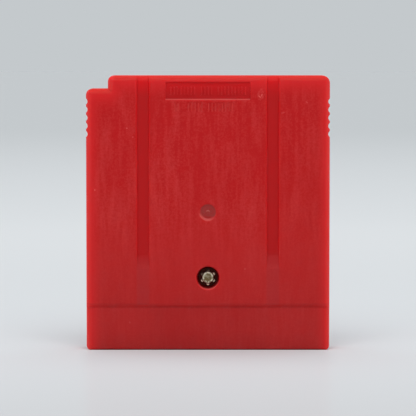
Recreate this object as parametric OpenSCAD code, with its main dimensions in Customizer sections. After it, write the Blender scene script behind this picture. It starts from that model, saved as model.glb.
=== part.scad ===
// Handheld console game cartridge: two moulded half shells closed by one six-lobe screw,
// with a circuit board, its chips and a backup coin cell inside.
// It stands on its connector edge. +Z is up and the screw side faces -Y.

/* [Housing] */
// Width across the grip sides
cart_w = 57.6; // [57:0.1:58]
// Height from the connector edge to the top
cart_h = 65; // [64.5:0.1:66]
// Thickness from the screw side to the label side
cart_t = 7.8; // [7.8:0.1:8.4]
// Width of the power switch notch in the top corner
notch_w = 5.2; // [4:0.1:6]
// Height of the notch
notch_h = 3.1; // [2.5:0.1:3.5]
// Radius of the long outer edges
edge_r = 1.3; // [0.8:0.1:1.4]
// Radius of the edges at the connector end
foot_r = 0.45; // [0.3:0.05:0.5]

/* [Walls] */
// Thickness of the wall on the screw side
rear_wall = 1.2; // [1.2:0.1:1.3]
// Thickness of the wall on the label side
front_wall = 1.2; // [1.2:0.1:1.3]
// Thickness of the side and top walls
side_wall = 1.5; // [1.4:0.1:1.6]
// Distance of the parting line from the screw side
rear_side_h = 3.6; // [3.5:0.1:3.8]
// Half width of the connector mouth
mouth_half_w = 25.8; // [25.6:0.1:26]

/* [Grip] */
// Number of finger grooves on each side
grip_count = 5; // [3:1:5]
// Distance from one finger groove to the next
grip_pitch = 1.92; // [1.8:0.02:2]
// Depth of a finger groove
grip_depth = 0.4; // [0.3:0.05:0.45]

/* [Screw side] */
// Height of the recessed band at the connector end
band_h = 10.8; // [10:0.1:11.5]
// Depth of the recessed band
band_depth = 0.35; // [0.25:0.05:0.4]
// Distance of each long guide groove from the middle
groove_x = 15.35; // [14:0.05:17]
// Width of a guide groove
groove_w = 3; // [2.5:0.1:3.5]
// Depth of a guide groove
groove_depth = 0.4; // [0.3:0.05:0.6]
// Height of the screw above the connector edge
screw_z = 17.2; // [16.8:0.1:17.4]

/* [Label side] */
// Width of the label recess
label_w = 42; // [38:1:44]
// Height of the label recess
label_h = 37; // [34:1:38]
// Depth of the recesses on the label side
label_depth = 0.3; // [0.2:0.05:0.35]

/* [Board] */
// Thickness of the circuit board
board_t = 0.8; // [0.8:0.1:0.9]
// Gap between the board and the label side wall
board_gap = 0.4; // [0.3:0.1:0.4]
// Number of edge contacts
contact_count = 32; // [28:1:32]
// Distance from one edge contact to the next
contact_pitch = 1.5; // [1.4:0.05:1.5]

/* [Hidden] */
$fn = 64;

// Colours
shell_red = [0.70, 0.15, 0.15];
board_green = [0.10, 0.36, 0.24];
contact_gold = [0.85, 0.68, 0.30];
chip_black = [0.12, 0.12, 0.13];
tin = [0.78, 0.79, 0.80];
steel = [0.72, 0.72, 0.70];
nickel = [0.76, 0.74, 0.68];
ceramic_tan = [0.72, 0.60, 0.46];
screw_silver = [0.72, 0.70, 0.62];

// Planes across the thickness, from the screw side at the lowest y
half_w = cart_w / 2;
rear_y = -cart_t / 2;
front_y = cart_t / 2;
rear_in = rear_y + rear_wall;
front_in = front_y - front_wall;
band_y = rear_y + band_depth;
seam_y = rear_y + rear_side_h;
board_front = front_in - board_gap;
board_back = board_front - board_t;
past = 1;

// Corner radii of the outline, seen from the screw side
bottom_corner = 1.1;
ledge_corner = 1.6;
notch_corner = 1.5;
top_corner = 1.9;
notch_x = notch_w - half_w;
ledge_z = cart_h - notch_h;

// Height at which the wide connector mouth ends and the board's shoulders rest
post_top = 13;

// Lap joint between the shells: a tongue on the front shell in a rebate of the rear shell
tongue_h = 0.8;
rebate_h = 0.9;
tongue_out = side_wall / 2 + 0.1;
rebate_out = side_wall / 2;
seam_line = 0.12;

// Screw, its tube in the rear shell and its post in the front shell
screw_hole_r = 2.62;
rim_r = 0.4;
tube_r = 3.6;
tube_hole_r = 1.2;
seat_y = seam_y - 0.6;
seat_t = 0.8;
boss_r = 3;
boss_top = seat_y + seat_t;
thread_r = 1;
pilot_end = front_in + 0.2;

// Finger grooves
grip_top_z = 58.86;
grip_r = 0.83;
grip_end_x = half_w - 8.2;

// Board outline and the pins that locate it
board_foot = 1.6;
board_top = 56;
board_half_w = 26.4;
tongue_half_w = 25.4;
boss_gap = 0.3;
pin_x = 23;
pin_z = 53.2;
pin_r = 1;
pin_hole_r = 1.15;

// Box with four corner radii, in the order low-low, high-low, high-high, low-high
module soft_box(x0, z0, x1, z1, r) {
    polygon([
        [x0 + r[0], z0], [x1 - r[1], z0], [x1, z0 + r[1]], [x1, z1 - r[2]],
        [x1 - r[2], z1], [x0 + r[3], z1], [x0, z1 - r[3]], [x0, z0 + r[0]]
    ]);
    if (r[0] > 0) translate([x0 + r[0], z0 + r[0]]) circle(r[0]);
    if (r[1] > 0) translate([x1 - r[1], z0 + r[1]]) circle(r[1]);
    if (r[2] > 0) translate([x1 - r[2], z1 - r[2]]) circle(r[2]);
    if (r[3] > 0) translate([x0 + r[3], z1 - r[3]]) circle(r[3]);
}

// Extrude an X-Z outline through the thickness
module along_y(y0, y1) {
    translate([0, y1, 0]) rotate([90, 0, 0]) linear_extrude(height = y1 - y0) children();
}

// Extrude a Y-Z outline across the width
module along_x(x0, x1) {
    translate([x0, 0, 0]) rotate([90, 0, 90]) linear_extrude(height = x1 - x0) children();
}

// Round bar or bore through the thickness
module y_cylinder(x, z, r, y0, y1) {
    translate([x, y1, z]) rotate([90, 0, 0]) cylinder(r = r, h = y1 - y0);
}

module block(x0, y0, z0, x1, y1, z1) {
    translate([x0, y0, z0]) cube([x1 - x0, y1 - y0, z1 - z0]);
}

// Solid slab with rounded outline corners and rounded long edges
module pillow(x0, x1, z1, y0, y1, corners) {
    intersection() {
        along_y(y0, y1) soft_box(x0, 0, x1, z1, corners);
        along_x(x0, x1) soft_box(y0, 0, y1, z1, [foot_r, foot_r, edge_r, edge_r]);
        linear_extrude(height = z1) soft_box(x0, y0, x1, y1, [edge_r, edge_r, edge_r, edge_r]);
    }
}

// Full outline with the notch, moved in by a margin
module outline(inset) {
    corner_cut = min(inset, 0.8);
    soft_box(-half_w + inset, inset, 0, ledge_z - inset,
        [bottom_corner - corner_cut, 0, 0, ledge_corner - corner_cut]);
    soft_box(notch_x + inset, inset, half_w - inset, cart_h - inset,
        [0, bottom_corner - corner_cut, top_corner - corner_cut, notch_corner - corner_cut]);
}

// Whole body before it is hollowed, from one face to the other
module body_form(y0) {
    pillow(-half_w, 0, ledge_z, y0, front_y, [bottom_corner, 0, 0, ledge_corner]);
    pillow(notch_x, half_w, cart_h, y0, front_y, [0, bottom_corner, top_corner, notch_corner]);
}

// Room inside the shells: a wide chamber over a narrower connector mouth
module cavity() {
    along_y(rear_in, front_in) intersection() {
        outline(side_wall);
        translate([-half_w, post_top]) square([cart_w, cart_h]);
    }
    block(-mouth_half_w, rear_in, -past, mouth_half_w, front_in, post_top + past);
}

// Finger grooves down both sides, carried round the label side edge and in to the oval
module grips() {
    for (k = [0:grip_count - 1], side = [0, 1]) mirror([side, 0, 0])
        translate([0, 0, grip_top_z - grip_pitch * k]) {
            reach = grip_r - grip_depth;
            translate([half_w + reach, front_y - edge_r, 0]) rotate([90, 0, 0])
                cylinder(r = grip_r, h = cart_t - edge_r + past);
            translate([half_w - edge_r, front_y - edge_r, 0])
                rotate_extrude(angle = 90) translate([edge_r + reach, 0]) circle(grip_r);
            translate([grip_end_x, front_y + reach, 0]) rotate([0, 90, 0])
                cylinder(r = grip_r, h = half_w - edge_r - grip_end_x);
        }
}

// Body with its thinner band at the connector end, under a sloping ledge
module stepped_body() {
    ledge_low = band_h - 2 * band_depth;
    difference() {
        body_form(rear_y);
        along_x(-cart_w, cart_w) polygon([
            [rear_y - past, -past], [cart_t, -past], [cart_t, ledge_low],
            [band_y, ledge_low], [rear_y, band_h], [rear_y - past, band_h]
        ]);
    }
    intersection() {
        body_form(band_y);
        block(-cart_w, -cart_t, -past, cart_w, cart_t, band_h);
    }
}

// Long guide grooves with drafted sides, a ramp at the lower end and a floor that turns over the top
module guide_grooves() {
    floor_y = rear_y + groove_depth;
    top_y = floor_y + edge_r + 0.1;
    ramp_low = 19.4;
    ramp_high = 22.5;
    draft = 0.2;
    difference() {
        for (side = [-1, 1]) intersection() {
            along_x(side * groove_x - groove_w, side * groove_x + groove_w) polygon([
                [floor_y, ramp_high], [top_y, ramp_high], [top_y, cart_h + past],
                [rear_y - past, cart_h + past], [rear_y - past, ramp_low], [rear_y, ramp_low]
            ]);
            translate([side * groove_x, 0, 0]) linear_extrude(height = cart_h + past) polygon([
                [-groove_w / 2, rear_y - past], [groove_w / 2, rear_y - past],
                [groove_w / 2, rear_y], [groove_w / 2 - draft, floor_y],
                [groove_w / 2 - draft, top_y], [draft - groove_w / 2, top_y],
                [draft - groove_w / 2, floor_y], [-groove_w / 2, rear_y]
            ]);
        }
        body_form(floor_y);
    }
}

// Row of short upright bars in groups, each given by its middle and its number of bars
module bar_row(groups, z, y0, y1) {
    bar_w = 0.3;
    bar_h = 1.9;
    pitch = 0.8;
    for (group = groups, k = [0:group[1] - 1]) {
        x = group[0] + (k - (group[1] - 1) / 2) * pitch;
        block(x - bar_w / 2, y0, z, x + bar_w / 2, y1, z + bar_h);
    }
}

// Sunk panel with a sloped lower edge and a row of plain raised bars, and a second row cut below it
module legend_panel() {
    panel_w = 20;
    panel_low = cart_h - 5.8;
    panel_high = cart_h - 1.55;
    depth = 0.3;
    floor_y = rear_y + depth;
    slope_h = 0.3;
    difference() {
        along_x(-panel_w / 2, panel_w / 2) polygon([
            [rear_y - past, panel_low], [rear_y, panel_low], [floor_y, panel_low + slope_h],
            [floor_y, panel_high], [rear_y - past, panel_high]
        ]);
        bar_row([[-6, 8], [-0.4, 4], [5.6, 9]], panel_low + 1.2, floor_y - 0.2, floor_y + past);
    }
    bar_row([[-7.4, 2], [-3, 5], [3, 8]], panel_low - 2.65, rear_y - past, rear_y + 0.12);
}

// Round dished dimple where the plastic entered the mould, with the sheared stub left in it
module gate_mark() {
    gate_z = cart_h / 2 + 0.25;
    depth = 0.3;
    rim = 2.05;
    slope = 0.5;
    translate([0, rear_y + depth, gate_z]) rotate([90, 0, 0]) difference() {
        cylinder(r1 = rim - slope, r2 = rim, h = depth);
        translate([0, 0, -0.01]) cylinder(r = 0.4, h = 0.15);
    }
    y_cylinder(0, gate_z, rim, rear_y - past, rear_y);
}

// Stepped hole for the screw, with a rounded rim
module screw_hole() {
    y_cylinder(0, screw_z, screw_hole_r, rear_y - past, seat_y);
    y_cylinder(0, screw_z, tube_hole_r, seat_y - past, boss_top + past);
    translate([0, rear_y, screw_z]) rotate([-90, 0, 0]) rotate_extrude() difference() {
        translate([screw_hole_r - 0.2, -past]) square([rim_r + 0.2, rim_r + past]);
        translate([screw_hole_r + rim_r, rim_r]) circle(rim_r);
    }
}

// Hooks that slide behind the front shell's catches when the shells close
module hooks() {
    hook_w = 5;
    hook_z = cart_h - side_wall - 1.9;
    for (side = [-1, 1]) translate([side * groove_x, 0, 0]) {
        block(-hook_w / 2, rear_in - 0.2, hook_z, hook_w / 2, seam_y + 1.7, hook_z + 1);
        block(-hook_w / 2, seam_y + 0.9, hook_z, hook_w / 2, seam_y + 1.7, hook_z + 1.5);
    }
}

// Ribs of the rear shell that keep the board down on its rails
module hold_down_ribs() {
    for (side = [-1, 1]) translate([side * 26, 0, 0])
        block(-0.4, rear_in - 0.2, 20, 0.4, board_back - 0.1, 52);
}

module rear_shell() {
    color(shell_red) difference() {
        union() {
            difference() {
                stepped_body();
                cavity();
                block(-cart_w, seam_y, -past, cart_w, cart_t, cart_h + past);
                along_y(seam_y - rebate_h, cart_t) intersection() {
                    outline(rebate_out);
                    translate([-half_w, post_top]) square([cart_w, cart_h]);
                }
                along_y(seam_y - seam_line, cart_t) difference() {
                    translate([-cart_w, -past]) square([2 * cart_w, 2 * cart_h]);
                    outline(seam_line);
                }
            }
            y_cylinder(0, screw_z, tube_r, rear_in - 0.2, boss_top);
            hooks();
            hold_down_ribs();
        }
        guide_grooves();
        legend_panel();
        gate_mark();
        screw_hole();
        grips();
    }
}

// Recesses of the label side: the label's place, the oval over it and the insertion arrow
module label_side_recesses() {
    label_low = 10.5;
    label_r = 1.5;
    oval_half_w = 15;
    oval_r = 4;
    oval_z = grip_top_z - grip_pitch * (grip_count - 1) / 2;
    arrow_z = 5.6;
    along_y(front_y - label_depth, front_y + past)
        soft_box(-label_w / 2, label_low, label_w / 2, label_low + label_h, label_r * [1, 1, 1, 1]);
    along_y(front_y - label_depth, front_y + past) {
        translate([-oval_half_w, oval_z - oval_r]) square([2 * oval_half_w, 2 * oval_r]);
        for (side = [-1, 1]) translate([side * oval_half_w, oval_z]) circle(oval_r);
    }
    along_y(front_y - label_depth, front_y + past)
        polygon([[-2.6, arrow_z + 1.5], [0, arrow_z - 1.7], [2.6, arrow_z + 1.5]]);
}

// Rails, screw post, locating pins and catches inside the front shell
module front_inside() {
    rail_x = 24.6;
    catch_z = cart_h - side_wall - 0.6;
    for (side = [-1, 1]) {
        block(side * rail_x - 0.5, board_front, post_top + 1, side * rail_x + 0.5,
            front_in + 0.2, board_top - 5);
        block(side * groove_x - 3, seam_y + 0.2, catch_z, side * groove_x + 3,
            seam_y + 0.7, catch_z + 0.8);
        y_cylinder(side * pin_x, pin_z, 1.8, board_front, front_in + 0.2);
        y_cylinder(side * pin_x, pin_z, pin_r, board_back - 0.5, front_in + 0.2);
    }
    y_cylinder(0, screw_z, boss_r + 1.4, board_front, front_in + 0.2);
    y_cylinder(0, screw_z, boss_r, boss_top, front_in + 0.2);
}

module front_shell() {
    color(shell_red) difference() {
        union() {
            difference() {
                body_form(rear_y);
                cavity();
                block(-cart_w, -cart_t, -past, cart_w, seam_y, cart_h + past);
                along_y(-cart_t, seam_y + seam_line) difference() {
                    translate([-cart_w, -past]) square([2 * cart_w, 2 * cart_h]);
                    outline(seam_line);
                }
            }
            along_y(seam_y - tongue_h, seam_y + 0.3) difference() {
                intersection() {
                    outline(tongue_out);
                    translate([-half_w, post_top + 0.1]) square([cart_w, cart_h]);
                }
                outline(side_wall);
            }
            front_inside();
        }
        y_cylinder(0, screw_z, thread_r, boss_top - past, pilot_end);
        label_side_recesses();
        grips();
    }
}

module circuit_board() {
    lead_in = 0.8;
    color(board_green) along_y(board_back, board_front) difference() {
        polygon([
            [lead_in - tongue_half_w, board_foot], [tongue_half_w - lead_in, board_foot],
            [tongue_half_w, board_foot + lead_in], [tongue_half_w, post_top],
            [board_half_w, post_top], [board_half_w, board_top],
            [-board_half_w, board_top], [-board_half_w, post_top],
            [-tongue_half_w, post_top], [-tongue_half_w, board_foot + lead_in]
        ]);
        translate([0, screw_z]) circle(boss_r + boss_gap);
        for (side = [-1, 1]) translate([side * pin_x, pin_z]) circle(pin_hole_r);
    }
}

// Gold plated fingers along the board's lower edge
module edge_contacts() {
    finger_w = 1;
    finger_low = board_foot + 0.5;
    finger_h = 6.8;
    plate_t = 0.05;
    color(contact_gold) for (k = [0:contact_count - 1]) {
        x = (k - (contact_count - 1) / 2) * contact_pitch;
        block(x - finger_w / 2, board_back - plate_t, finger_low,
            x + finger_w / 2, board_back, finger_low + finger_h);
    }
}

// Flat moulded chip body with drafted sides and a dimple beside the first lead
module chip_body(x, z, long, wide, high) {
    stand_off = 0.1;
    slope = 0.15;
    low = board_back - stand_off;
    mid = low - high / 2;
    top = low - high;
    difference() {
        intersection() {
            translate([x, 0, z - wide / 2]) linear_extrude(height = wide) polygon([
                [slope - long / 2, low], [-long / 2, mid], [slope - long / 2, top],
                [long / 2 - slope, top], [long / 2, mid], [long / 2 - slope, low]
            ]);
            along_x(x - long / 2, x + long / 2) translate([0, z]) polygon([
                [low, slope - wide / 2], [mid, -wide / 2], [top, slope - wide / 2],
                [top, wide / 2 - slope], [mid, wide / 2], [low, wide / 2 - slope]
            ]);
        }
        y_cylinder(x - long / 2 + 1.3, z - wide / 2 + 1.3, 0.5, top - past, top + 0.1);
    }
}

// Two rows of gull wing leads for a chip of the same size
module chip_leads(x, z, wide, high, per_side) {
    lead_pitch = 1.27;
    lead_w = 0.4;
    lead_t = 0.2;
    shoulder = board_back - 0.1 - high / 2 - lead_t / 2;
    under = board_back - lead_t;
    for (k = [0:per_side - 1], side = [0, 1]) {
        lead_x = x + (k - (per_side - 1) / 2) * lead_pitch;
        translate([0, 0, z]) mirror([0, 0, side]) along_x(lead_x - lead_w / 2, lead_x + lead_w / 2)
            translate([0, wide / 2]) polygon([
                [shoulder, 0], [shoulder, 0.6], [under, 0.75], [under, 1.4],
                [board_back, 1.4], [board_back, 0.6], [shoulder + lead_t, 0.42], [shoulder + lead_t, 0]
            ]);
    }
}

// Places and sizes of the chips: x, z, length, width, height, leads on each side
rom = [-12.4, 29.4, 20.6, 11.3, 2.4, 16];
mapper = [13, 30.6, 15.4, 7.6, 2, 12];
memory = [12.6, 46, 18.1, 8.4, 2.3, 14];
backup = [-1.5, 41, 5.1, 4.4, 1.7, 4];

module rom_chip() color(chip_black) chip_body(rom[0], rom[1], rom[2], rom[3], rom[4]);
module rom_leads() color(tin) chip_leads(rom[0], rom[1], rom[3], rom[4], rom[5]);

module mapper_chip() {
    color(chip_black) chip_body(mapper[0], mapper[1], mapper[2], mapper[3], mapper[4]);
}
module mapper_leads() color(tin) chip_leads(mapper[0], mapper[1], mapper[3], mapper[4], mapper[5]);

module memory_chip() {
    color(chip_black) chip_body(memory[0], memory[1], memory[2], memory[3], memory[4]);
}
module memory_leads() color(tin) chip_leads(memory[0], memory[1], memory[3], memory[4], memory[5]);

module backup_chip() {
    color(chip_black) chip_body(backup[0], backup[1], backup[2], backup[3], backup[4]);
}
module backup_leads() color(tin) chip_leads(backup[0], backup[1], backup[3], backup[4], backup[5]);

// Backup coin cell, 16 mm across and 1.6 mm thick, lying on its lower tab
cell_x = -15;
cell_z = 46.5;
cell_r = 8;
cell_t = 1.6;
tab_t = 0.2;
tab_w = 3;
cell_low = board_back - tab_t;
cell_top = cell_low - cell_t;

module coin_cell() {
    cap_r = 6.9;
    groove_r = 7.3;
    color(steel) translate([cell_x, cell_low, cell_z]) rotate([90, 0, 0]) rotate_extrude() polygon([
        [0, 0], [cap_r, 0], [groove_r, 0.35], [groove_r, 0.2], [cell_r - 0.2, 0.2], [cell_r, 0.4],
        [cell_r, cell_t - 0.2], [cell_r - 0.2, cell_t], [0, cell_t]
    ]);
}

// Strip welded to the outer face of the cell and bent down to the board
module cell_tab_upper() {
    leg_x = cell_x + cell_r + 0.3;
    color(nickel) translate([0, 0, cell_z - tab_w / 2]) linear_extrude(height = tab_w) polygon([
        [cell_x - 2, cell_top - tab_t], [leg_x + tab_t, cell_top - tab_t],
        [leg_x + tab_t, board_back - tab_t], [leg_x + 1.4, board_back - tab_t],
        [leg_x + 1.4, board_back], [leg_x, board_back], [leg_x, cell_top], [cell_x - 2, cell_top]
    ]);
}

// Flat strip between the cell and the board
module cell_tab_lower() {
    color(nickel) block(cell_x - cell_r - 2.1, cell_low, cell_z - tab_w / 2,
        cell_x + 3, board_back, cell_z + tab_w / 2);
}

// Solder fillets at the ends of the two tabs
module tab_solder() {
    toe = 0.45;
    upper_x = cell_x + cell_r + 1.7;
    lower_x = cell_x - cell_r - 2.1;
    color(tin) translate([0, 0, cell_z - tab_w / 2]) linear_extrude(height = tab_w) {
        polygon([[upper_x, board_back], [upper_x, cell_low], [upper_x + toe, board_back]]);
        polygon([[lower_x, board_back], [lower_x - toe, board_back], [lower_x, cell_low]]);
    }
}

// Small surface mounted part with plated ends, lying along x or upright along z
module chip_part(x, z, high, upright) {
    long = 2;
    wide = 1.25;
    plated = 0.4;
    skin = 0.04;
    translate([x, board_back, z]) rotate([90, upright ? 90 : 0, 0]) {
        translate([-long / 2, -wide / 2, skin]) cube([long, wide, high - 2 * skin]);
        for (side = [0, 1]) mirror([side, 0, 0])
            translate([-long / 2, -wide / 2 - skin, 0]) cube([plated, wide + 2 * skin, high]);
    }
}

// Places of the small parts: x, z, upright
capacitor_places = [[-3.2, 48.8, false], [-0.2, 53, false], [23.2, 34.4, true], [1.6, 27.2, true]];
resistor_places = [[1.6, 32.4, true], [23.2, 40.4, true], [23.2, 28.6, true]];

module capacitor(k) {
    place = capacitor_places[k];
    color(ceramic_tan) chip_part(place[0], place[1], 0.9, place[2]);
}

module resistor(k) {
    place = resistor_places[k];
    color(chip_black) chip_part(place[0], place[1], 0.5, place[2]);
}

// Security screw: round flange, round core with six half-round ribs, and a shank that ends in a point
module security_screw() {
    flange_r = 2.3;
    flange_t = 0.3;
    core_r = 1.36;
    head_h = 1.5;
    edge = 0.12;
    rib_r = 0.38;
    rib_at = 1.5;
    rib_h = 1.3;
    point_h = 0.7;
    shank_end = pilot_end - 0.2;
    color(screw_silver) translate([0, seat_y, screw_z]) rotate([90, 0, 0]) {
        rotate_extrude() polygon([
            [0, 0], [flange_r - edge, 0], [flange_r, edge], [flange_r, flange_t - edge],
            [flange_r - edge, flange_t], [core_r, flange_t], [core_r, flange_t + head_h - edge],
            [core_r - edge, flange_t + head_h], [0, flange_t + head_h]
        ]);
        for (k = [0:5]) rotate(60 * k + 30) translate([rib_at, 0, flange_t - edge]) {
            cylinder(r = rib_r, h = rib_h);
            translate([0, 0, rib_h]) cylinder(r1 = rib_r, r2 = rib_r - edge, h = edge);
        }
        translate([0, 0, seat_y - shank_end + point_h])
            cylinder(r = thread_r, h = shank_end - point_h - seat_y + edge);
        translate([0, 0, seat_y - shank_end]) cylinder(r1 = 0.3, r2 = thread_r, h = point_h);
    }
}

rear_shell();
front_shell();
circuit_board();
edge_contacts();
rom_chip();
rom_leads();
mapper_chip();
mapper_leads();
memory_chip();
memory_leads();
backup_chip();
backup_leads();
coin_cell();
cell_tab_upper();
cell_tab_lower();
tab_solder();
capacitor(0);  // capacitor_1
capacitor(1);  // capacitor_2
capacitor(2);  // capacitor_3
capacitor(3);  // capacitor_4
resistor(0);  // resistor_1
resistor(1);  // resistor_2
resistor(2);  // resistor_3
security_screw();
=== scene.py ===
import math

import bpy
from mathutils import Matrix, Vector


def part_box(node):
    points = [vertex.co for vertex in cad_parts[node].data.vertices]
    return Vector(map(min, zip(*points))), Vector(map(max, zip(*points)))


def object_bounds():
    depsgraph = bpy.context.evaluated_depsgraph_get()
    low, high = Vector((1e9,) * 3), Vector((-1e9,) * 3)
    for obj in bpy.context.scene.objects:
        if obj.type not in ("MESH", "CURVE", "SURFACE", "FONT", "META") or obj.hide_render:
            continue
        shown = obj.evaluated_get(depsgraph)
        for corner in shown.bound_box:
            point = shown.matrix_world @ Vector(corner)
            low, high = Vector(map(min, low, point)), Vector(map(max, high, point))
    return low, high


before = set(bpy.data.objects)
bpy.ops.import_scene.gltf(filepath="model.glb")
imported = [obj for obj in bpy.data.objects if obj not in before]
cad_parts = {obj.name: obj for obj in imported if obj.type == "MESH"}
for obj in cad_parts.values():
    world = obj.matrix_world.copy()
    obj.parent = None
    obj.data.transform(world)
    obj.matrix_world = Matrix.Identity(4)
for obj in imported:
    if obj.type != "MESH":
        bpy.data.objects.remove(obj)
cad_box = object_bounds()

# The housing is two half shells, injection moulded in red plastic with a fine spark-eroded grain.
# They lap along a line round the sides and top, hook together at the top and close with one screw.
# Sliding in and out of a slot has scuffed the raised faces pale and left the recesses clean.
MM = 0.001
REAR_FACE = cad_box[0].y
HALF_WIDTH = cad_box[1].x
TOP = cad_box[1].z
NOTCH_SIDE = cad_box[0].x + 5.2 * MM
NOTCH_LEDGE = TOP - 3.1 * MM
BAND_FACE = REAR_FACE + 0.35 * MM
BAND_TOP = 10.8 * MM
GROOVE_AT = 15.35 * MM
GROOVE_HALF_WIDTH = 1.5 * MM
GATE_HEIGHT = 32.75 * MM
GATE_RADIUS = 1.9 * MM


def new_material(name):
    """A fresh material with its node tree and its one surface shader."""
    material = bpy.data.materials.new(name)
    material.use_nodes = True
    return material, material.node_tree, material.node_tree.nodes["Principled BSDF"]


def add(tree, kind, sockets=None, **settings):
    """One more node, with its settings made and its inputs set or joined to another node's output."""
    node = tree.nodes.new("ShaderNode" + kind)
    for name, value in settings.items():
        setattr(node, name, value)
    for name, value in (sockets or {}).items():
        if isinstance(value, bpy.types.NodeSocket):
            tree.links.new(value, node.inputs[name])
        else:
            node.inputs[name].default_value = value
    return node


def calc(tree, operation, *values, clamp=False):
    """The result of one sum on numbers or other nodes' outputs."""
    return add(tree, "Math", dict(enumerate(values)), operation=operation, use_clamp=clamp).outputs[0]


def rise(tree, value, low, high):
    """0 below low, 1 above high and a smooth rise between. With low above high it falls."""
    sockets = {"Value": value, "From Min": low, "From Max": high}
    return add(tree, "MapRange", sockets, interpolation_type="SMOOTHSTEP").outputs[0]


def all_of(tree, *shares):
    """The product of several shares, which is 1 only where every one of them is 1."""
    product = shares[0]
    for share in shares[1:]:
        product = calc(tree, "MULTIPLY", product, share)
    return product


# A share of 0 to 1 says how much a layer shows at a point. Each pair below is where a share starts to
# rise and where it is full. These are for the screw side, its raised face and the thinner band.
SIDE_DEPTH = (REAR_FACE + 0.9 * MM, REAR_FACE + 0.7 * MM)
FACE_DEPTH = (REAR_FACE + 0.2 * MM, REAR_FACE + 0.05 * MM)
BAND_DEPTH = (BAND_FACE + 0.1 * MM, BAND_FACE)
BELOW_LIP = (BAND_TOP, BAND_TOP - 0.6 * MM)
shell_red, tree, shader = new_material("moulded_red")
place = add(tree, "TexCoord").outputs["Object"]
across, deep, up = add(tree, "SeparateXYZ", {0: place}).outputs
off_middle = calc(tree, "ABSOLUTE", across)
screw_side = rise(tree, deep, *SIDE_DEPTH)
on_face = rise(tree, deep, *FACE_DEPTH)
in_band = rise(tree, up, *BELOW_LIP)
on_band = all_of(tree, in_band, rise(tree, deep, *BAND_DEPTH))
scuffed = calc(tree, "MAXIMUM", on_face, on_band)


def paint(red, green, blue):
    """A colour as it looks on a screen, 0 to 255, turned into the linear light that a shader works in."""
    return [((c / 255 + 0.055) / 1.055) ** 2.4 for c in (red, green, blue)] + [1.0]


def blend_colours(tree, share, first, second):
    """first where share is 0, second where it is 1."""
    mix = add(tree, "Mix", data_type="RGBA")
    for socket, value in ((mix.inputs[0], share), (mix.inputs[6], first), (mix.inputs[7], second)):
        if isinstance(value, bpy.types.NodeSocket):
            tree.links.new(value, socket)
        else:
            socket.default_value = value
    return mix.outputs[2]


def grain(tree, place, stretch, scale, detail=2.0, roughness=0.5):
    """Soft noise from 0 to 1, drawn out along the axes by stretch."""
    mapped = add(tree, "Mapping", {"Vector": place, "Scale": stretch}).outputs[0]
    sockets = {"Vector": mapped, "Scale": scale, "Detail": detail, "Roughness": roughness}
    return add(tree, "TexNoise", sockets).outputs["Fac"]


# The scuffs are thin and wide streaks along the way the housing slides, and marks of grit. They come in
# broad patches.
EVEN = (1.0, 1.0, 1.0)
PATCH_SPREAD = 1.3
PATCH_LEAST = 0.3
streaks = grain(tree, place, stretch=(1.0, 1.0, 0.12), scale=1100, detail=3.0, roughness=0.6)
wide_streaks = grain(tree, place, stretch=(1.0, 1.0, 0.3), scale=330)
patches = grain(tree, place, stretch=(1.0, 1.0, 0.4), scale=90, detail=3.0)
grit_marks = grain(tree, place, stretch=EVEN, scale=2400, roughness=0.7)
scuffs = 0.0
for marks, low, high, strength in (
    (streaks, 0.38, 0.7, 0.4),
    (grit_marks, 0.36, 0.66, 0.42),
    (wide_streaks, 0.35, 0.7, 0.3),
):
    scuffs = calc(tree, "MULTIPLY_ADD", rise(tree, marks, low, high), strength, scuffs)
scuffs = calc(tree, "MULTIPLY", scuffs, calc(tree, "MULTIPLY_ADD", patches, PATCH_SPREAD, PATCH_LEAST))

# The end that goes into the slot is scuffed evenly, the middle above it less so, the top end less
# strongly and the band's two sides more.
MEAN_SCUFF = 0.43
SLOT_REACH = (32 * MM, 22 * MM)
EVENED_BY_SLOT = 0.5
HELD_ABOVE = (30 * MM, 36 * MM)
HELD_WITHIN = (14 * MM, 12 * MM)
UNEVEN_WHERE_HELD = -0.12
TOWARDS_TOP = (26 * MM, 60 * MM)
LESS_AT_TOP = -0.25
TOWARDS_SIDES = (8 * MM, 18 * MM)
MORE_AT_SIDES = 0.1
CLEAN_RED = paint(187, 7, 11)
SCUFFED_RED = paint(200, 48, 46)
held = all_of(tree, rise(tree, up, *HELD_ABOVE), rise(tree, off_middle, *HELD_WITHIN))
evened = calc(tree, "MULTIPLY", rise(tree, up, *SLOT_REACH), EVENED_BY_SLOT)
evened = calc(tree, "MULTIPLY_ADD", held, UNEVEN_WHERE_HELD, evened)
from_mean = calc(tree, "SUBTRACT", MEAN_SCUFF, scuffs)
scuffs = calc(tree, "MULTIPLY_ADD", evened, from_mean, scuffs)
scuffs = calc(tree, "MULTIPLY_ADD", rise(tree, up, *TOWARDS_TOP), LESS_AT_TOP, scuffs, clamp=True)
band_sides = all_of(tree, rise(tree, off_middle, *TOWARDS_SIDES), in_band)
scuffs = calc(tree, "MULTIPLY_ADD", band_sides, MORE_AT_SIDES, scuffs, clamp=True)
scuffs = calc(tree, "MULTIPLY", scuffs, scuffed, clamp=True)
colour = blend_colours(tree, scuffs, CLEAN_RED, SCUFFED_RED)

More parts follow.
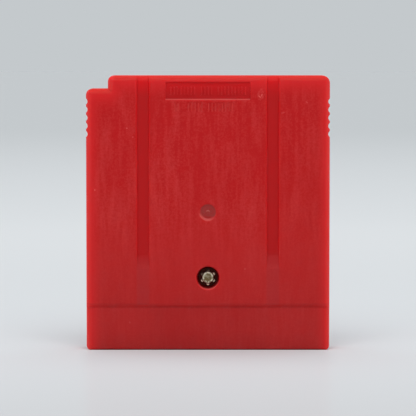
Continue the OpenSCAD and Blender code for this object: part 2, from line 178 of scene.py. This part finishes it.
# Below each guide groove, down to the lip, the slot's rail has rubbed a dull strip. The top of the
# left strip is a little lower than that of the right one.
STRIP_WIDTH = (GROOVE_HALF_WIDTH * 1.15, GROOVE_HALF_WIDTH * 0.85)
STRIP_TOP = (23.4 * MM, 21.0 * MM)
STRIP_TILT = -0.025
ABOVE_LIP = (BAND_TOP - 0.1 * MM, BAND_TOP)
RUBBED_MOST = 0.4
RUBBED_RED = paint(176, 46, 48)
from_groove = calc(tree, "ABSOLUTE", calc(tree, "SUBTRACT", off_middle, GROOVE_AT))
tilted = calc(tree, "MULTIPLY_ADD", across, STRIP_TILT, up)
above_lip = rise(tree, up, *ABOVE_LIP)
rubbed = all_of(
    tree,
    rise(tree, from_groove, *STRIP_WIDTH),
    rise(tree, tilted, *STRIP_TOP),
    screw_side,
    above_lip,
    RUBBED_MOST,
)
colour = blend_colours(tree, rubbed, colour, RUBBED_RED)


def distance(tree, x, z):
    """How far a point is from where x and z are both 0."""
    squares = calc(tree, "ADD", calc(tree, "POWER", x, 2.0), calc(tree, "POWER", z, 2.0))
    return calc(tree, "SQRT", squares)


def reach(tree, x, z, direction):
    """How far a point lies in a direction, which is given as its x and z parts."""
    return calc(tree, "MULTIPLY_ADD", x, direction[0], calc(tree, "MULTIPLY", z, direction[1]))


# The gate dimple is where the feed of plastic was sheared off. Its floor is rough but for the foot of
# it. The stub's upper edge carries a painted highlight, and so does the dimple's rim at the low left.
DIMPLE_EDGE = (GATE_RADIUS * 1.03, GATE_RADIUS * 0.93)
DIMPLE_FOOT = (GATE_HEIGHT - 1.9 * MM, GATE_HEIGHT - 0.7 * MM)
ROUGH_SPREAD = 0.8
ROUGH_LEAST = 0.3
STUB_OUTSIDE = (0.6 * MM, 0.4 * MM)
STUB_INSIDE = (0.1 * MM, 0.3 * MM)
STUB_UPPER_HALF = (GATE_HEIGHT, GATE_HEIGHT + 0.3 * MM)
STUB_MOST = 0.6
LOW_LEFT = (-0.5, -0.87)
RIM_REACH = (0.9 * MM, 1.8 * MM)
RIM_OUTSIDE = (2.25 * MM, 2.05 * MM)
RIM_INSIDE = (1.3 * MM, 1.7 * MM)
RIM_MOST = 0.5
GATE_RED = paint(154, 57, 53)
STUB_HIGHLIGHT_RED = paint(190, 104, 98)
RIM_HIGHLIGHT_RED = paint(214, 92, 84)
above_gate = calc(tree, "SUBTRACT", up, GATE_HEIGHT)
from_gate = distance(tree, across, above_gate)
in_gate = all_of(
    tree,
    rise(tree, from_gate, *DIMPLE_EDGE),
    screw_side,
    rise(tree, up, *DIMPLE_FOOT),
    calc(tree, "MULTIPLY_ADD", grit_marks, ROUGH_SPREAD, ROUGH_LEAST),
)
colour = blend_colours(tree, in_gate, colour, GATE_RED)
# Painted highlight on the stub's upper edge.
stub_highlight = all_of(
    tree,
    rise(tree, from_gate, *STUB_OUTSIDE),
    rise(tree, from_gate, *STUB_INSIDE),
    rise(tree, up, *STUB_UPPER_HALF),
    screw_side,
    STUB_MOST,
)
colour = blend_colours(tree, stub_highlight, colour, STUB_HIGHLIGHT_RED)
# Painted highlight on the dimple's rim at the low left.
gate_rim_highlight = all_of(
    tree,
    rise(tree, reach(tree, across, above_gate, LOW_LEFT), *RIM_REACH),
    rise(tree, from_gate, *RIM_OUTSIDE),
    rise(tree, from_gate, *RIM_INSIDE),
    screw_side,
    RIM_MOST,
)
colour = blend_colours(tree, gate_rim_highlight, colour, RIM_HIGHLIGHT_RED)

# Painted glow: light that goes into the plastic near an edge comes out again beside it, so the colour is
# painted lighter towards the sides and the top, which steps down at the notch, and less far in from the
# right.
EDGE_REACH = 4 * MM
TOP_WEIGHT = 0.7
RIGHT_HALF = (-5 * MM, 5 * MM)
RIGHT_WEIGHT = 0.2
CORNER_BLEND = 3 * MM
GLOWING_RED = paint(214, 28, 31)
GLOWING_CLEAN = paint(216, 7, 15)
right_of_notch = calc(tree, "MAXIMUM", calc(tree, "SUBTRACT", across, NOTCH_SIDE), 0.0)
below_notch = calc(tree, "MAXIMUM", calc(tree, "SUBTRACT", NOTCH_LEDGE, up), 0.0)
from_notch = distance(tree, right_of_notch, below_notch)
from_top = calc(tree, "MINIMUM", calc(tree, "SUBTRACT", TOP, up), from_notch)
side_weight = calc(tree, "MULTIPLY_ADD", rise(tree, across, *RIGHT_HALF), RIGHT_WEIGHT, 1.0)
from_side = calc(tree, "MULTIPLY", calc(tree, "SUBTRACT", HALF_WIDTH, off_middle), side_weight)
from_edge = calc(tree, "SMOOTH_MIN", calc(tree, "MULTIPLY", from_top, TOP_WEIGHT), from_side, CORNER_BLEND)
glow = blend_colours(tree, scuffed, GLOWING_CLEAN, GLOWING_RED)
colour = blend_colours(tree, rise(tree, from_edge, EDGE_REACH, 0.0), colour, glow)

# The rounded edge carries a painted highlight, brightest on the two sides and on the notch's upright wall,
# and purer red where a guide groove runs out over it, as the groove is clean.
ROUNDING = (1.6 * MM, 0.6 * MM)
ROUNDING_MOST = 0.7
CORNER_TURN = (-1 * MM, 1 * MM)
NOTCH_WALL_START = (0.0, 0.1 * MM)
NOTCH_WALL_END = (1.8 * MM, 1.2 * MM)
NOTCH_WALL_FOOT = (0.4 * MM, 0.0)
INSIDE_GROOVE = (GROOVE_HALF_WIDTH - 0.05 * MM, GROOVE_HALF_WIDTH - 0.15 * MM)
TOP_HIGHLIGHT_RED = paint(190, 46, 37)
SIDE_HIGHLIGHT_RED = paint(210, 55, 52)
GROOVE_HIGHLIGHT_RED = paint(200, 30, 24)
rounding = rise(tree, calc(tree, "MINIMUM", from_top, from_side), *ROUNDING)
on_notch_wall = all_of(
    tree,
    rise(tree, right_of_notch, *NOTCH_WALL_START),
    rise(tree, right_of_notch, *NOTCH_WALL_END),
    rise(tree, below_notch, *NOTCH_WALL_FOOT),
)
on_side = rise(tree, calc(tree, "SUBTRACT", from_top, from_side), *CORNER_TURN)
on_side = calc(tree, "MAXIMUM", on_side, on_notch_wall)
in_groove = all_of(tree, rise(tree, from_groove, *INSIDE_GROOVE), screw_side)
edge_highlight = blend_colours(tree, on_side, TOP_HIGHLIGHT_RED, SIDE_HIGHLIGHT_RED)
edge_highlight = blend_colours(tree, in_groove, edge_highlight, GROOVE_HIGHLIGHT_RED)
colour = blend_colours(tree, all_of(tree, rounding, ROUNDING_MOST), colour, edge_highlight)

# The drafted walls of the guide grooves carry a painted highlight, and so do ledges that face up.
STEEP = (0.2, 0.5)
NEAR_GROOVE = (3 * MM, 2 * MM)
WALL_MOST = 0.6
FACING_UP = (0.25, 0.6)
INSIDE_EDGE = (1.2 * MM, 1.8 * MM)
LEDGES_WITHIN = (21 * MM, 20 * MM)
WALL_HIGHLIGHT_RED = paint(214, 18, 22)
LEDGE_HIGHLIGHT_RED = paint(190, 59, 56)
facing = add(tree, "SeparateXYZ", {0: add(tree, "NewGeometry").outputs["Normal"]}).outputs
# Painted highlight on the groove walls.
groove_wall_highlight = all_of(
    tree,
    rise(tree, calc(tree, "ABSOLUTE", facing["X"]), *STEEP),
    screw_side,
    rise(tree, from_groove, *NEAR_GROOVE),
    WALL_MOST,
)
colour = blend_colours(tree, groove_wall_highlight, colour, WALL_HIGHLIGHT_RED)
# Painted highlight on ledges that face up.
ledge_highlight = all_of(
    tree,
    rise(tree, facing["Z"], *FACING_UP),
    rise(tree, from_edge, *INSIDE_EDGE),
    screw_side,
    rise(tree, off_middle, *LEDGES_WITHIN),
)
colour = blend_colours(tree, ledge_highlight, colour, LEDGE_HIGHLIGHT_RED)

# The lower row of bars is cut into the face, and the cuts carry a painted highlight.
ROW_FOOT = (56.3 * MM, 56.4 * MM)
ROW_TOP = (58.8 * MM, 58.7 * MM)
ROW_WITHIN = (12 * MM, 11 * MM)
CUT_DEPTH = (REAR_FACE + 0.05 * MM, REAR_FACE + 0.1 * MM)
CUT_MOST = 0.6
CUT_HIGHLIGHT_RED = paint(214, 62, 56)
cut_highlight = all_of(
    tree,
    rise(tree, up, *ROW_FOOT),
    rise(tree, up, *ROW_TOP),
    rise(tree, off_middle, *ROW_WITHIN),
    rise(tree, deep, *CUT_DEPTH),
    screw_side,
    CUT_MOST,
)
colour = blend_colours(tree, cut_highlight, colour, CUT_HIGHLIGHT_RED)

# A few pale specks lie on the scuffed faces, away from the edges: one in eight of a scatter of dots.
DOTS_PER_METRE = 330.0
SPECK_PICK = (0.86, 0.9)
SPECK_SIZE = (0.10, 0.05)
SPECKS_WITHIN = (3 * MM, 4 * MM)
SPECK_MOST = 0.5
SPECK_RED = paint(206, 92, 88)
dots = add(tree, "TexVoronoi", {"Vector": place, "Scale": DOTS_PER_METRE, "Randomness": 1.0}).outputs
dot_pick = add(tree, "SeparateColor", {0: dots["Color"]}).outputs[0]
specks = all_of(
    tree,
    rise(tree, dot_pick, *SPECK_PICK),
    scuffed,
    rise(tree, dots["Distance"], *SPECK_SIZE),
    rise(tree, from_edge, *SPECKS_WITHIN),
    SPECK_MOST,
)
colour = blend_colours(tree, specks, colour, SPECK_RED)

# Knocks have left nicks, the two nearest the top in a rough patch.
MARK_EDGE = (1.3, 0.5)
ROUGH_PATCH_GRIT = (0.4, 0.6)
ROUGH_PATCH_MOST = 0.16
NICK_RED = paint(222, 110, 104)


def mark(x, z, length, width, turn):
    """An oval scrape on the screw side, sizes in mm, its middle at x and z, turned by so many degrees."""
    lengthwise = (math.cos(math.radians(turn)), math.sin(math.radians(turn)))
    crosswise = (-lengthwise[1], lengthwise[0])
    dx = calc(tree, "SUBTRACT", across, x * MM)
    dz = calc(tree, "SUBTRACT", up, z * MM)
    along = calc(tree, "DIVIDE", reach(tree, dx, dz, lengthwise), length / 2 * MM)
    aside = calc(tree, "DIVIDE", reach(tree, dx, dz, crosswise), width / 2 * MM)
    squares = calc(tree, "ADD", calc(tree, "POWER", along, 2.0), calc(tree, "POWER", aside, 2.0))
    return rise(tree, squares, *MARK_EDGE)


nicks = 0.0
for x, z, length, width, turn, strength in (
    (12.7, 60.4, 0.7, 0.26, 75, 0.6),
    (12.2, 60.0, 0.9, 0.26, -50, 0.6),
    (23.3, 58.7, 0.7, 0.3, -35, 0.3),
    (17.7, 56.2, 1.0, 0.26, 8, 0.25),
    (-19.1, 52.6, 0.3, 0.3, 0, 0.6),
    (-17.7, 50.5, 0.3, 0.26, 0, 0.5),
    (-26.7, 38.0, 0.4, 0.3, 90, 0.6),
):
    nicks = calc(tree, "MULTIPLY_ADD", mark(x, z, length, width, turn), strength, nicks)
rough_patch = mark(x=12.4, z=60.6, length=3.0, width=1.8, turn=80)
rough_patch = all_of(tree, rough_patch, rise(tree, grit_marks, *ROUGH_PATCH_GRIT))
nicks = calc(tree, "MULTIPLY_ADD", rough_patch, ROUGH_PATCH_MOST, nicks)
nicks = calc(tree, "MULTIPLY", nicks, on_face, clamp=True)
colour = blend_colours(tree, nicks, colour, NICK_RED)

# Painted shade darkens the lower end, most of all along the foot, the middle of the band, and a thin line
# on the lip above the band.
AWAY_FROM_EDGE = (-1 * MM, 5 * MM)
BAND_MIDDLE = (18 * MM, 12 * MM)
BAND_SHADE = 0.04
LIP_LINE_TOP = (BAND_TOP + 0.4 * MM, BAND_TOP + 0.25 * MM)
LIP_SHADE = 0.1
SHADE_RED = paint(40, 8, 10)
painted_shade = 0.0
for clean_above, full_below, strength in (
    (30 * MM, 0.0, 0.13),
    (5 * MM, 0.0, 0.1),
    (0.45 * MM, 0.2 * MM, 0.25),
):
    painted_shade = calc(tree, "MULTIPLY_ADD", rise(tree, up, clean_above, full_below), strength, painted_shade)
painted_shade = calc(tree, "MULTIPLY", painted_shade, rise(tree, from_edge, *AWAY_FROM_EDGE))
band_middle = all_of(tree, rise(tree, off_middle, *BAND_MIDDLE), in_band)
painted_shade = calc(tree, "MULTIPLY_ADD", band_middle, BAND_SHADE, painted_shade)
lip_line = all_of(tree, above_lip, screw_side, rise(tree, up, *LIP_LINE_TOP))
painted_shade = calc(tree, "MULTIPLY_ADD", lip_line, LIP_SHADE, painted_shade)
colour = blend_colours(tree, painted_shade, colour, SHADE_RED)
tree.links.new(colour, shader.inputs["Base Color"])

# Scuffs and the rubbed rounding take the shine off. Light spreads a little way inside the plastic.
CLEAN_ROUGHNESS = 0.42
ROUGHER_BY_SCUFFS = 0.18
ROUGHER_ON_ROUNDING = 0.3
roughness = calc(tree, "MULTIPLY_ADD", scuffs, ROUGHER_BY_SCUFFS, CLEAN_ROUGHNESS)
roughness = calc(tree, "MULTIPLY_ADD", rounding, ROUGHER_ON_ROUNDING, roughness, clamp=True)
tree.links.new(roughness, shader.inputs["Roughness"])
shader.inputs["Subsurface Weight"].default_value = 1.0
shader.inputs["Subsurface Radius"].default_value = (1.0, 0.25, 0.2)
shader.inputs["Subsurface Scale"].default_value = 2 * MM
shader.inputs["Specular IOR Level"].default_value = 0.2
shader.inputs["IOR"].default_value = 1.5

# The grain of the mould and the streaks stand out as a fine relief, and no edge is perfectly sharp.
STREAK_RELIEF = 0.6
spark_grain = grain(tree, place, stretch=EVEN, scale=5200)
relief = calc(tree, "MULTIPLY_ADD", calc(tree, "MULTIPLY", streaks, scuffed), STREAK_RELIEF, spark_grain)
soft_edges = add(tree, "Bevel", {"Radius": 0.12 * MM}, samples=6).outputs[0]
bump_inputs = {"Height": relief, "Distance": 0.02 * MM, "Strength": 0.5, "Normal": soft_edges}
tree.links.new(add(tree, "Bump", bump_inputs).outputs[0], shader.inputs["Normal"])
for name in ("rear_shell", "front_shell"):
    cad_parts[name].data.materials[0] = shell_red

# The circuit board is glass fibre laminate under green solder mask. Its narrow end stands in the mouth,
# and two pins and the screw post hold it in the front shell.
MASK_GREEN = paint(26, 84, 58)
TRACK_GREEN = paint(40, 112, 74)
TRACKS_PER_METRE = 420.0
TRACK_EDGE = (0.4, 0.45)
board_green, tree, shader = new_material("solder_mask")
place = add(tree, "TexCoord").outputs["Object"]
weave = grain(tree, place, stretch=EVEN, scale=900)
track_inputs = {"Vector": place, "Scale": TRACKS_PER_METRE}
tracks = add(tree, "TexVoronoi", track_inputs, distance="CHEBYCHEV").outputs["Distance"]
colour = blend_colours(tree, rise(tree, tracks, *TRACK_EDGE), MASK_GREEN, TRACK_GREEN)
tree.links.new(colour, shader.inputs["Base Color"])
shader.inputs["Roughness"].default_value = 0.3
bump_inputs = {"Height": weave, "Distance": 0.02 * MM, "Strength": 0.3}
tree.links.new(add(tree, "Bump", bump_inputs).outputs[0], shader.inputs["Normal"])
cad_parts["circuit_board"].data.materials[0] = board_green

# The edge contacts are copper fingers on the board's narrow end, nickel and gold plated.
# The console's springs have wiped fine lines down them.
GOLD_LOW = paint(196, 150, 62)
GOLD_HIGH = paint(226, 186, 96)
METAL_EDGE = 0.06 * MM
SHINE_SPREAD = 0.2


def metal(name, low_colour, high_colour, roughness, brush, scale):
    """Bare or plated metal whose colour and shine vary along a fine brushed or cast grain."""
    material, tree, shader = new_material(name)
    place = add(tree, "TexCoord").outputs["Object"]
    marks = grain(tree, place, brush, scale, detail=3.0, roughness=0.6)
    tree.links.new(blend_colours(tree, marks, low_colour, high_colour), shader.inputs["Base Color"])
    shine = calc(tree, "MULTIPLY_ADD", marks, SHINE_SPREAD, roughness - SHINE_SPREAD / 2)
    tree.links.new(shine, shader.inputs["Roughness"])
    shader.inputs["Metallic"].default_value = 1.0
    edges = add(tree, "Bevel", {"Radius": METAL_EDGE}, samples=6).outputs[0]
    bump_inputs = {"Height": marks, "Distance": 0.01 * MM, "Strength": 0.4, "Normal": edges}
    tree.links.new(add(tree, "Bump", bump_inputs).outputs[0], shader.inputs["Normal"])
    return material


contact_gold = metal("contact_gold", GOLD_LOW, GOLD_HIGH, roughness=0.28, brush=(1.0, 1.0, 0.03), scale=2500)
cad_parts["edge_contacts"].data.materials[0] = contact_gold

# The four chips are moulded in black epoxy round a stamped lead frame. Two rows of tinned gull wing
# leads hold each of them flat on the board, where they are soldered.
EPOXY_LOW = paint(30, 30, 32)
EPOXY_HIGH = paint(44, 44, 46)
TIN_LOW = paint(176, 178, 182)
TIN_HIGH = paint(204, 206, 208)
chip_black, tree, shader = new_material("chip_epoxy")
place = add(tree, "TexCoord").outputs["Object"]
mould_grain = grain(tree, place, stretch=EVEN, scale=3500)
tree.links.new(blend_colours(tree, mould_grain, EPOXY_LOW, EPOXY_HIGH), shader.inputs["Base Color"])
shader.inputs["Roughness"].default_value = 0.55
bump_inputs = {"Height": mould_grain, "Distance": 0.02 * MM, "Strength": 0.5}
tree.links.new(add(tree, "Bump", bump_inputs).outputs[0], shader.inputs["Normal"])
lead_tin = metal("tinned_lead", TIN_LOW, TIN_HIGH, roughness=0.35, brush=EVEN, scale=1800)
for name in ("rom", "mapper", "memory", "backup"):
    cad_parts[name + "_chip"].data.materials[0] = chip_black
    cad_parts[name + "_leads"].data.materials[0] = lead_tin

# The backup cell is a nickel plated steel can, held by two nickel strips spot welded to its faces
# and soldered to the board.
STEEL_LOW = paint(178, 178, 176)
STEEL_HIGH = paint(206, 206, 202)
NICKEL_LOW = paint(182, 176, 164)
NICKEL_HIGH = paint(204, 198, 186)
SOLDER_LOW = paint(170, 172, 174)
SOLDER_HIGH = paint(206, 208, 210)
cell_steel = metal("cell_can", STEEL_LOW, STEEL_HIGH, roughness=0.3, brush=EVEN, scale=1200)
tab_nickel = metal("tab_strip", NICKEL_LOW, NICKEL_HIGH, roughness=0.32, brush=(0.05, 1.0, 1.0), scale=2600)
solder = metal("soft_solder", SOLDER_LOW, SOLDER_HIGH, roughness=0.25, brush=EVEN, scale=900)
for name, finish, slot in (
    ("coin_cell", cell_steel, "cell_steel"),
    ("cell_tab_upper", tab_nickel, "tab_nickel"),
    ("cell_tab_lower", tab_nickel, "tab_nickel"),
    ("tab_solder", solder, "solder"),
):
    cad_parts[name].data.materials[0] = finish

# The chip capacitors are small bricks of tan ceramic, and the resistors are black film on ceramic.
# Each has a tinned cap at both ends, which is soldered to the board.
CAP_EDGE = (0.58 * MM, 0.62 * MM)
CAP_TIN = paint(196, 198, 200)
CERAMIC_LOW = paint(176, 148, 116)
CERAMIC_HIGH = paint(198, 170, 134)
FILM_LOW = paint(26, 26, 28)
FILM_HIGH = paint(44, 44, 48)


def small_part(name, low_colour, high_colour, middle, upright):
    """Glazed body in the middle 1.2 mm of the part, and tin over the rest."""
    material, tree, shader = new_material(name)
    place = add(tree, "TexCoord").outputs["Object"]
    axes = add(tree, "SeparateXYZ", {0: place}).outputs
    along = calc(tree, "SUBTRACT", axes["Z" if upright else "X"], middle)
    tinned = rise(tree, calc(tree, "ABSOLUTE", along), *CAP_EDGE)
    speckle = grain(tree, place, stretch=EVEN, scale=4000)
    body = blend_colours(tree, speckle, low_colour, high_colour)
    tree.links.new(blend_colours(tree, tinned, body, CAP_TIN), shader.inputs["Base Color"])
    tree.links.new(tinned, shader.inputs["Metallic"])
    shader.inputs["Roughness"].default_value = 0.35
    bump_inputs = {"Height": speckle, "Distance": 0.02 * MM, "Strength": 0.3}
    tree.links.new(add(tree, "Bump", bump_inputs).outputs[0], shader.inputs["Normal"])
    return material


for kind, slot, low_colour, high_colour in (
    ("capacitor", "capacitor_tan", CERAMIC_LOW, CERAMIC_HIGH),
    ("resistor", "resistor_dark", FILM_LOW, FILM_HIGH),
):
    for name in sorted(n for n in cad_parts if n.startswith(kind)):
        low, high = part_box(name)
        upright = high.z - low.z > high.x - low.x
        middle = (low.z + high.z) / 2 if upright else (low.x + high.x) / 2
        finish = small_part(name + "_finish", low_colour, high_colour, middle, upright)
        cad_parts[name].data.materials[0] = finish

# The security screw is cold headed steel. Its flange sits at the bottom of the tube, and six ribs round
# its core take a hollow driver. Below the crown it is painted dark, a painted shade for the deep tube; the
# crown's edge and the rib tips, but for those at the top left, carry painted highlights.
SCREW_HEIGHT = 17.2 * MM
CROWN_FACE = REAR_FACE + 1.2 * MM
CROWN_DEPTH = (CROWN_FACE + 0.16 * MM, CROWN_FACE + 0.1 * MM)
RIB_RADIUS = (1.45 * MM, 1.6 * MM)
RIB_DEPTH = (CROWN_FACE + 0.5 * MM, CROWN_FACE + 0.4 * MM)
TOP_LEFT = (-0.5, 0.87)
UNLIT_REACH = (1.8 * MM, 0.6 * MM)
BLOTCH_EDGE = (0.43, 0.57)
RIM_RADIUS = (0.75 * MM, 1.15 * MM)
RIM_MARKS = (0.35, 0.55)
SMOOTHEST = 0.25
ROUGHER_BY_MARKS = 0.25
GLINT_BRIGHT = paint(226, 220, 194)
WORN_DULL = paint(158, 148, 122)
BROWNED = paint(112, 95, 62)
TUBE_SHADE = paint(64, 29, 23)
screw_steel, tree, shader = new_material("screw_steel")
place = add(tree, "TexCoord").outputs["Object"]
across, deep, up = add(tree, "SeparateXYZ", {0: place}).outputs
above_axis = calc(tree, "SUBTRACT", up, SCREW_HEIGHT)
from_axis = distance(tree, across, above_axis)
marks = grain(tree, place, stretch=EVEN, scale=2200, detail=3.0, roughness=0.6)
blotches = grain(tree, place, stretch=EVEN, scale=1000)
crown = rise(tree, deep, *CROWN_DEPTH)
# Painted glints on the rib tips, but not on those at the top left.
rib_tips = all_of(
    tree,
    rise(tree, from_axis, *RIB_RADIUS),
    rise(tree, deep, *RIB_DEPTH),
    rise(tree, reach(tree, across, above_axis, TOP_LEFT), *UNLIT_REACH),
)
# Painted highlight round the crown's edge.
rim_highlight = all_of(tree, rise(tree, from_axis, *RIM_RADIUS), rise(tree, marks, *RIM_MARKS))
centre = blend_colours(tree, rise(tree, blotches, *BLOTCH_EDGE), BROWNED, WORN_DULL)
plate = blend_colours(tree, calc(tree, "MAXIMUM", rim_highlight, rib_tips), centre, GLINT_BRIGHT)
# Painted shade covers all but the crown and the rib tips.
unshaded = calc(tree, "MAXIMUM", crown, rib_tips)
tree.links.new(blend_colours(tree, unshaded, TUBE_SHADE, plate), shader.inputs["Base Color"])
tree.links.new(calc(tree, "MULTIPLY_ADD", marks, ROUGHER_BY_MARKS, SMOOTHEST), shader.inputs["Roughness"])
shader.inputs["Metallic"].default_value = 1.0
soft_edges = add(tree, "Bevel", {"Radius": METAL_EDGE}, samples=6).outputs[0]
bump_inputs = {"Height": marks, "Distance": 0.02 * MM, "Strength": 0.5, "Normal": soft_edges}
tree.links.new(add(tree, "Bump", bump_inputs).outputs[0], shader.inputs["Normal"])
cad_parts["security_screw"].data.materials[0] = screw_steel

# The floor is a wide sheet of pale board with a faint gloss, and the object stands loose on it. Its tone
# evens out the lamp's pool of light and fades into the backdrop's grey, with a cool painted shadow just
# before the foot.
FLOOR_RADIUS = 12.0
FLOOR_CORNERS = 96
UNDER_LAMP = (0.0, -0.2, 0.0)
POOL = (0.21, 0.05)
BRIGHTENING = (0.05, 0.65)
FADING = (0.6, 2.15)
SHADOW_WITHIN = (31 * MM, 26 * MM)
SHADOW_FRONT = (-45 * MM, -8 * MM)
SHADOW_BACK = (-5 * MM, -6.5 * MM)
SHADOW_MOST = 0.14
GLOSS_SHARE = 0.05
CLOSE_GREY = paint(184, 184, 185)
NEAR_GREY = paint(202, 204, 206)
MIDDLE_GREY = paint(246, 245, 245)
FAR_GREY = paint(226, 226, 226)
SHADOW_GREY = paint(140, 160, 164)
WHITE = (1.0, 1.0, 1.0, 1.0)
bpy.ops.mesh.primitive_circle_add(vertices=FLOOR_CORNERS, radius=FLOOR_RADIUS, fill_type="NGON")
floor = bpy.context.object
floor.name = "floor"
floor_board, tree, shader = new_material("floor_board")
place = add(tree, "TexCoord").outputs["Object"]
axes = add(tree, "SeparateXYZ", {0: place}).outputs
from_lamp = add(tree, "VectorMath", {0: place, 1: UNDER_LAMP}, operation="DISTANCE").outputs["Value"]
colour = blend_colours(tree, rise(tree, from_lamp, *BRIGHTENING), NEAR_GREY, MIDDLE_GREY)
colour = blend_colours(tree, rise(tree, from_lamp, *FADING), colour, FAR_GREY)
colour = blend_colours(tree, rise(tree, from_lamp, *POOL), colour, CLOSE_GREY)
# Painted shadow on the floor just before the foot.
painted_shadow = all_of(
    tree,
    rise(tree, calc(tree, "ABSOLUTE", axes["X"]), *SHADOW_WITHIN),
    rise(tree, axes["Y"], *SHADOW_FRONT),
    rise(tree, axes["Y"], *SHADOW_BACK),
    SHADOW_MOST,
)
colour = blend_colours(tree, painted_shadow, colour, SHADOW_GREY)
tree.links.new(colour, shader.inputs["Base Color"])
shader.inputs["Roughness"].default_value = 1.0
shader.inputs["Specular IOR Level"].default_value = 0.0
gloss = add(tree, "BsdfGlossy", {"Color": WHITE, "Roughness": 0.2}).outputs[0]
surface = add(tree, "MixShader", {0: GLOSS_SHARE, 1: shader.outputs[0], 2: gloss}).outputs[0]
floor.data.materials.append(floor_board)

# Seen from below the floor is clear, so that a camera under it still sees the object.
seen = add(tree, "LightPath").outputs["Is Camera Ray"]
from_below = calc(tree, "MULTIPLY", seen, add(tree, "NewGeometry").outputs["Backfacing"])
clear = add(tree, "BsdfTransparent").outputs[0]
surface = add(tree, "MixShader", {0: from_below, 1: surface, 2: clear}).outputs[0]
tree.links.new(surface, tree.nodes["Material Output"].inputs["Surface"])

# Soft studio light: a white tent, brightest at its sides and open towards the camera, with one square
# soft box close above. Seen directly or in a shine, the tent is an even pale grey.
LAMP_AT = Vector((0.0, -0.2, 0.3))
LAMP_AIM = Vector((0.0, 0.0, 0.03))
LAMP_SIZE = 0.24
LAMP_WATTS = 0.76
TENT_WALL = (0.552, 0.584, 0.604, 1.0)
MORE_OVERHEAD = 0.1
MORE_AT_TENT_SIDES = 2.0
LESS_AT_OPENING = -0.8
lamp = bpy.data.objects.new("top_light", bpy.data.lights.new("top_light", "AREA"))
lamp.data.size = LAMP_SIZE
lamp.data.energy = LAMP_WATTS
lamp.location = LAMP_AT
lamp.rotation_euler = (LAMP_AIM - LAMP_AT).to_track_quat("-Z", "Y").to_euler()
bpy.context.scene.collection.objects.link(lamp)
world = bpy.data.worlds.new("studio")
bpy.context.scene.world = world
world.use_nodes = True
tree = world.node_tree
towards = add(tree, "SeparateXYZ", {0: add(tree, "TexCoord").outputs["Generated"]}).outputs
overhead = calc(tree, "MAXIMUM", towards["Z"], 0.0)
sides = calc(tree, "POWER", towards["X"], 2.0)
opening = calc(tree, "MAXIMUM", calc(tree, "MULTIPLY", towards["Y"], -1.0), 0.0)
level = calc(tree, "MULTIPLY_ADD", overhead, MORE_OVERHEAD, 1.0)
level = calc(tree, "MULTIPLY_ADD", sides, MORE_AT_TENT_SIDES, level)
level = calc(tree, "MULTIPLY", level, calc(tree, "MULTIPLY_ADD", opening, LESS_AT_OPENING, 1.0))
tent = add(tree, "VectorMath", {0: TENT_WALL[:3], "Scale": level}, operation="SCALE").outputs[0]
rays = add(tree, "LightPath").outputs
seen = calc(tree, "MAXIMUM", rays["Is Camera Ray"], rays["Is Transmission Ray"])
seen = calc(tree, "MAXIMUM", seen, rays["Is Glossy Ray"])
backdrop = blend_colours(tree, seen, tent, TENT_WALL)
tree.links.new(backdrop, tree.nodes["Background"].inputs["Color"])

# The camera looks along +Y and a little down on the screw side, from as far as the photograph's
# outline shows: its sides draw in by 1 part in 120 from top to bottom.
DISTANCE = 0.6
PITCH = math.radians(3.5)
AIM = Vector((0.0, REAR_FACE, 32.5 * MM))
PIXELS_PER_MM = 4.2335
CENTRE_PIXEL = (207.93, 213.25)
IMAGE_PIXELS = 416
SENSOR = 36.0
camera = bpy.data.objects.new("camera", bpy.data.cameras.new("camera"))
camera.location = AIM + DISTANCE * Vector((0.0, -math.cos(PITCH), math.sin(PITCH)))
camera.rotation_euler = (math.radians(90) - PITCH, 0.0, 0.0)
camera.data.sensor_width = SENSOR
camera.data.lens = PIXELS_PER_MM * DISTANCE / MM / IMAGE_PIXELS * SENSOR
camera.data.shift_x = (IMAGE_PIXELS / 2 - CENTRE_PIXEL[0]) / IMAGE_PIXELS
camera.data.shift_y = (CENTRE_PIXEL[1] - IMAGE_PIXELS / 2) / IMAGE_PIXELS
camera.data.clip_start = 0.01
camera.data.clip_end = 30.0
bpy.context.scene.collection.objects.link(camera)
bpy.context.scene.camera = camera
bpy.context.scene.view_settings.view_transform = "Standard"
